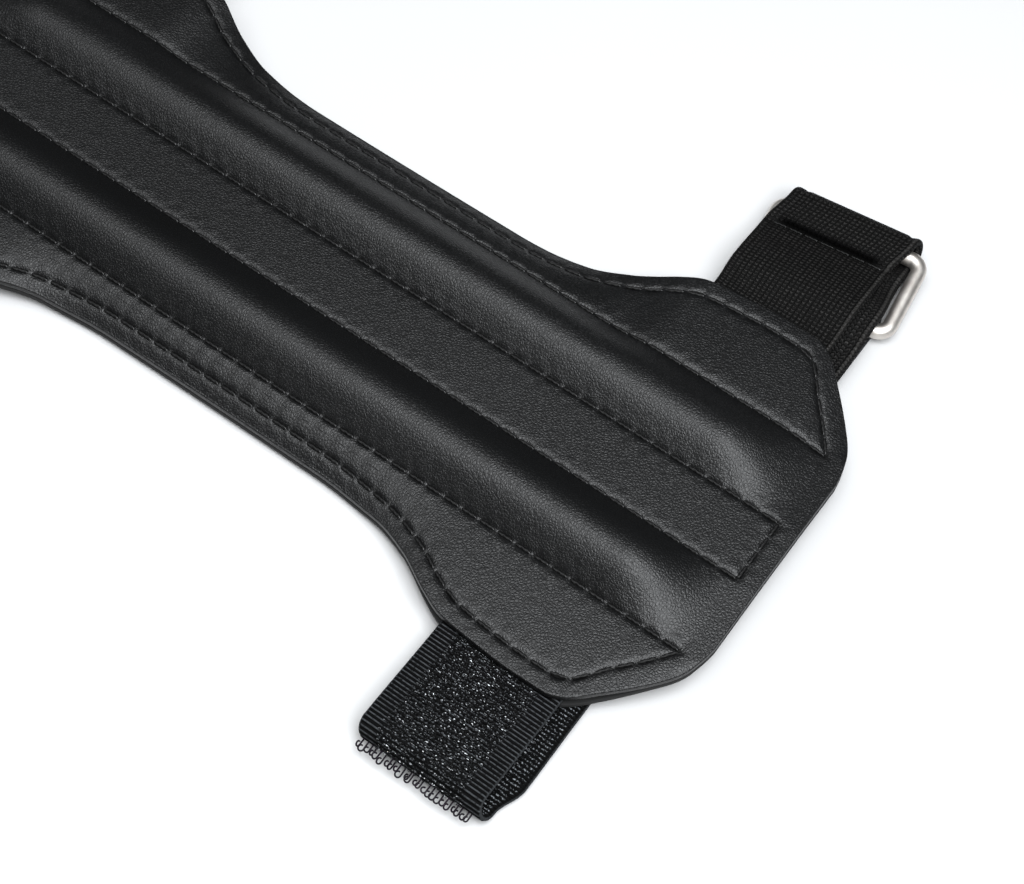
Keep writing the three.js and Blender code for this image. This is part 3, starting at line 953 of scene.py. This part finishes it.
def make_webbing(end, side, finish, thread):
    """Webbing of one end, and the stitches of its cross seam."""
    path = webbing_path()
    shape, weave = strap(side, path, WEBBING_WIDTH, WEBBING_ROWS, 1, webbing_relief)
    name = f"webbing_{end}"
    piece = new_piece(name, shape, finish, f"webbing_loop_{end}", {"weave": weave})
    hole = np.linspace(-1, 1, CROSS_STITCHES["count"] + 1) * (WEBBING_WIDTH / 2 - CROSS_STITCHES["inset"])
    x = path[cross_seam_station(path), 2] + hole
    top = CROSS_SEAM["z"] + STRAP_THICKNESS / 2 - CROSS_SEAM["deep"]
    holes = np.stack([side * x, skewed(x, CROSS_SEAM["y"] + 0 * x), np.full(x.shape, top)], 1)
    sink, dive, radius = (CROSS_STITCHES[key] for key in ("sink", "dive", "radius"))
    threads = stitch_threads(holes[:-1], holes[1:], sink, dive, radius)
    tips = {"tip": thread_tips(threads[0], holes[:-1])}
    seam = new_piece(f"webbing_stitches_{end}", threads, thread, attributes=tips)


def strap_spots(path, outside, stations, across, side):
    """Places on a strap's outer face, with the outward, sideways and onward directions there."""
    normal = path_frame(path, outside)[stations]
    x = path[stations, 2] + across
    foot = path[stations, :2] + normal * STRAP_THICKNESS / 2
    places = np.stack([side * x, skewed(x, foot[:, 0]), foot[:, 1]], 1)
    out = np.insert(normal, 0, 0, axis=1)
    sideways = np.tile((float(side), 0, 0), (len(stations), 1))
    return places, out, sideways, np.cross(out, sideways)


def scatter(limit, shape):
    """Random numbers from minus the limit to the limit."""
    return rng.uniform(-limit, limit, shape)


def pile_loops(path, outside, span, side):
    """Small loops of yarn on a face: half ellipses that lean at random, in rows along the ridges."""
    length = path_length(path)
    half = TAPE_WIDTH / 2 - TAPE_RIB["margin"] - PILE["inset"]
    rows = np.arange(span[0], span[1], TAPE_RIB["pitch"])
    places = np.arange(-half, half, PILE["apart"])
    row, place = (grid.ravel() for grid in np.indices((len(rows), len(places))))
    across = places[place] + PILE["apart"] / 2 * (row % 2) + scatter(PILE["stray_across"], row.shape)
    along = rows[row] + scatter(PILE["stray_along"], row.shape)
    stations = np.searchsorted(length, along)
    feet, out, sideways, onward = strap_spots(path, outside, stations, across, side)
    yaw = scatter(PILE["yaw"], (len(feet), 1))
    tip = scatter(PILE["tip"], (len(feet), 1))
    lean = sideways * np.cos(yaw) + onward * np.sin(yaw)
    across_plane = np.cross(lean, out)
    rise = out * np.cos(tip) + across_plane * np.sin(tip)
    plane = np.cross(lean, rise)
    turn = np.linspace(0, np.pi, PILE["stations"])[None, :, None]
    reach = rng.uniform(*PILE["reach"], (len(feet), 1, 1))
    height = rng.uniform(*PILE["height"], (len(feet), 1, 1))
    lines = feet[:, None] + lean[:, None] * reach * np.cos(turn) + rise[:, None] * height * np.sin(turn)
    return tubes(lines, plane, PILE["radius"], PILE["sides"]), len(feet)


def hook_curls(path, outside, side):
    """Hooks of stiff filament round the tape's fold: a straight stem that ends in an open curl."""
    curl = HOOK["curl"]
    foot, neck = HOOK["stem"]
    outermost = np.argmin(path[:, 0])
    half = TAPE_WIDTH / 2 - HOOK["inset"]
    places = np.arange(-half, half, HOOK["apart"])
    place, row = (grid.ravel() for grid in np.indices((len(places), 2)))
    across = places[place] + HOOK["offset"] * row + scatter(HOOK["stray_across"], row.shape)
    onward_by = row * HOOK["row_stations"] + scatter(HOOK["stray_along"], row.shape)
    stations = outermost + np.round(onward_by).astype(int)
    feet, out, sideways, onward = strap_spots(path, outside, stations, across, side)
    yaw = rng.uniform(*HOOK["yaw"], (len(feet), 1))
    lean = sideways * np.cos(yaw) + onward * np.sin(yaw)
    stem_stations, curl_stations = HOOK["stations"]
    turn = np.linspace(0, math.radians(HOOK["turn"]), curl_stations)
    stem = np.linspace(foot, neck * HOOK["straight"], stem_stations)
    lean_by = np.concatenate([np.full(stem_stations, curl), curl * np.cos(turn)]) - curl
    rise_by = np.concatenate([stem, neck + curl * np.sin(turn)])
    size = rng.uniform(*HOOK["size"], (len(feet), 1, 1))
    lines = feet[:, None] + size * (lean[:, None] * lean_by[:, None] + out[:, None] * rise_by[:, None])
    return tubes(lines, np.cross(lean, out), HOOK["radius"], HOOK["sides"]), len(feet)


def fibre_piece(name, fibres, finish, power):
    """Piece of many fibres, each with its own shade: a random number to a power, so that few are pale."""
    shape, count = fibres
    # The pale fibres carry bright painted glints
    shade = rng.random(count) ** power
    shades = np.repeat(shade, len(shape[0]) // count)
    return new_piece(name, shape, finish, attributes={"shade": shades})


def make_tape(end, side, finish, fibre, hook):
    """Tape of one end, with pile on its outer face and inside its fold, and hooks round the fold."""
    path = tape_path()
    shape, weave = strap(side, path, TAPE_WIDTH, TAPE_ROWS, -1, tape_relief)
    piece = new_piece(f"tape_{end}", shape, finish, f"tape_strap_{end}", {"weave": weave})
    length = path_length(path)
    outermost = length[np.argmin(path[:, 0])]
    outer = (ROOT_OUTER - ROOT_INNER - PILE_START, outermost)
    inner = [outermost + place for place in INNER_PILE]
    pile_power, hook_power = PILE["shade_power"], HOOK["shade_power"]
    fibres = [
        fibre_piece(f"tape_pile_{end}", pile_loops(path, -1, outer, side), fibre, pile_power),
        fibre_piece(f"tape_inner_pile_{end}", pile_loops(path, 1, inner, side), fibre, pile_power),
        fibre_piece(f"tape_hooks_{end}", hook_curls(path, -1, side), hook, hook_power),
    ]


def make_ring(end, side, finish):
    """Round wire carried round a rectangle with rounded corners, then tilted and turned as it lies."""
    turn = math.atan(RING_SKEW)
    apart = (OUTER_BAR["y"] - INNER_BAR["y"]) * math.cos(turn)
    lift = OUTER_BAR["z"] - INNER_BAR["z"]
    half = np.array([RING_WIDTH / 2 - WIRE_RADIUS, math.hypot(apart, lift) / 2]) - RING_CORNER
    bend = np.linspace(0, np.pi / 2, RING_STATIONS["corner"])
    quarter = np.stack([np.cos(bend), np.sin(bend)], 1)
    headings = ((1, 0), (0, 1), (-1, 0), (0, -1))
    out = np.concatenate([quarter @ np.array([[x, y], [-y, x]]) for x, y in headings])
    corner = np.repeat([[1, 1], [-1, 1], [-1, -1], [1, -1]], len(bend), 0)
    line = corner * half + out * RING_CORNER
    angle = 2 * np.pi * np.arange(RING_STATIONS["round"]) / RING_STATIONS["round"]
    flat = line[:, None] + out[:, None] * (WIRE_RADIUS * np.cos(angle))[None, :, None]
    height = np.broadcast_to(WIRE_RADIUS * np.sin(angle), flat.shape[:2])
    wire = np.concatenate([flat, height[..., None]], -1)
    lie = Matrix.Rotation(side * turn, 3, "Z") @ Matrix.Rotation(math.atan2(lift, apart), 3, "X")
    middle = [side * RING_X, (OUTER_BAR["y"] + INNER_BAR["y"]) / 2, (OUTER_BAR["z"] + INNER_BAR["z"]) / 2]
    points = wire.reshape(-1, 3) @ np.array(lie).T + middle
    index = np.arange(len(points)).reshape(wire.shape[:2])
    index = np.concatenate([index, index[:1]])
    quads = [grid_faces(np.concatenate([index, index[:, :1]], 1))]
    grain = np.stack(np.broadcast_arrays(path_length(line)[:, None], angle[None], 0.0), -1).reshape(-1, 3)
    new_piece(f"steel_ring_{end}", (points, quads, []), finish, f"ring_{end}", {"wire": grain})


def make_stage():
    """Pale floor, two broad soft lights overhead, a weak fill on the tape side and a dim surround."""
    mesh = bpy.data.meshes.new("floor")
    corners = [(x * FLOOR_REACH, y * FLOOR_REACH, 0) for x, y in ((-1, -1), (1, -1), (1, 1), (-1, 1))]
    mesh.from_pydata(corners, [], [(0, 1, 2, 3)])
    mesh.materials.append(floor_finish())
    floor = bpy.data.objects.new("floor", mesh)
    bpy.context.scene.collection.objects.link(floor)
    for name, values in LIGHTS.items():
        light = bpy.data.lights.new(name, "AREA")
        light.shape = "RECTANGLE"
        light.energy, light.color = values["power"], values["colour"]
        light.size, light.size_y = values["size"]
        lamp = bpy.data.objects.new(name, light)
        lamp.location = values["at"]
        lamp.rotation_euler = (Vector(values["to"]) - lamp.location).to_track_quat("-Z", "Y").to_euler()
        bpy.context.scene.collection.objects.link(lamp)
    world = bpy.data.worlds.new("surround")
    world.use_nodes = True
    for name, value in SURROUND.items():
        world.node_tree.nodes["Background"].inputs[name].default_value = value
    bpy.context.scene.world = world


def make_camera():
    """Camera where the view was taken from: its right hand is level, then rolled about the line of sight."""
    angles = (CAMERA_AZIMUTH, CAMERA_ELEVATION, CAMERA_ROLL)
    azimuth, elevation, roll = (math.radians(angle) for angle in angles)
    look = np.array([
        -math.sin(azimuth) * math.cos(elevation),
        math.cos(azimuth) * math.cos(elevation),
        -math.sin(elevation),
    ])
    level = np.array([math.cos(azimuth), math.sin(azimuth), 0])
    upright = np.cross(level, look)
    right = level * math.cos(roll) + upright * math.sin(roll)
    up = np.cross(right, look)
    turned = Matrix(np.stack([right, up, -look], 1).tolist()).to_4x4()
    place = (np.array(CAMERA_AT) + (0, AXIS_Y, 0)) * MM
    data = bpy.data.cameras.new("camera")
    data.lens, data.sensor_width, data.sensor_fit = CAMERA_LENS, CAMERA_SENSOR, "HORIZONTAL"
    data.clip_start = 0.01
    camera = bpy.data.objects.new("camera", data)
    camera.matrix_world = Matrix.Translation(place.tolist()) @ turned
    bpy.context.scene.collection.objects.link(camera)
    bpy.context.scene.camera = camera


make_camera()
make_stage()
bpy.context.scene.view_settings.view_transform = "Standard"
thread = thread_finish()
make_leather()
make_seams(thread)
webbing = webbing_finish()
tape = tape_finish()
steel = steel_finish()
# The pile's pale colour is its painted glints
fibre = fibre_finish("pile_yarn", grey(0.0009, -0.05), grey(0.85, -0.04), rough=0.35, gloss=0.1)
hook = fibre_finish(
    "hook_filament", (0.005, 0.0035, 0.006, 1), (0.022, 0.015, 0.022, 1), rough=0.4, gloss=0.1)
for end, side in ENDS.items():
    make_ring(end, side, steel)
    make_webbing(end, side, webbing, thread)
    make_tape(end, side, tape, fibre, hook)
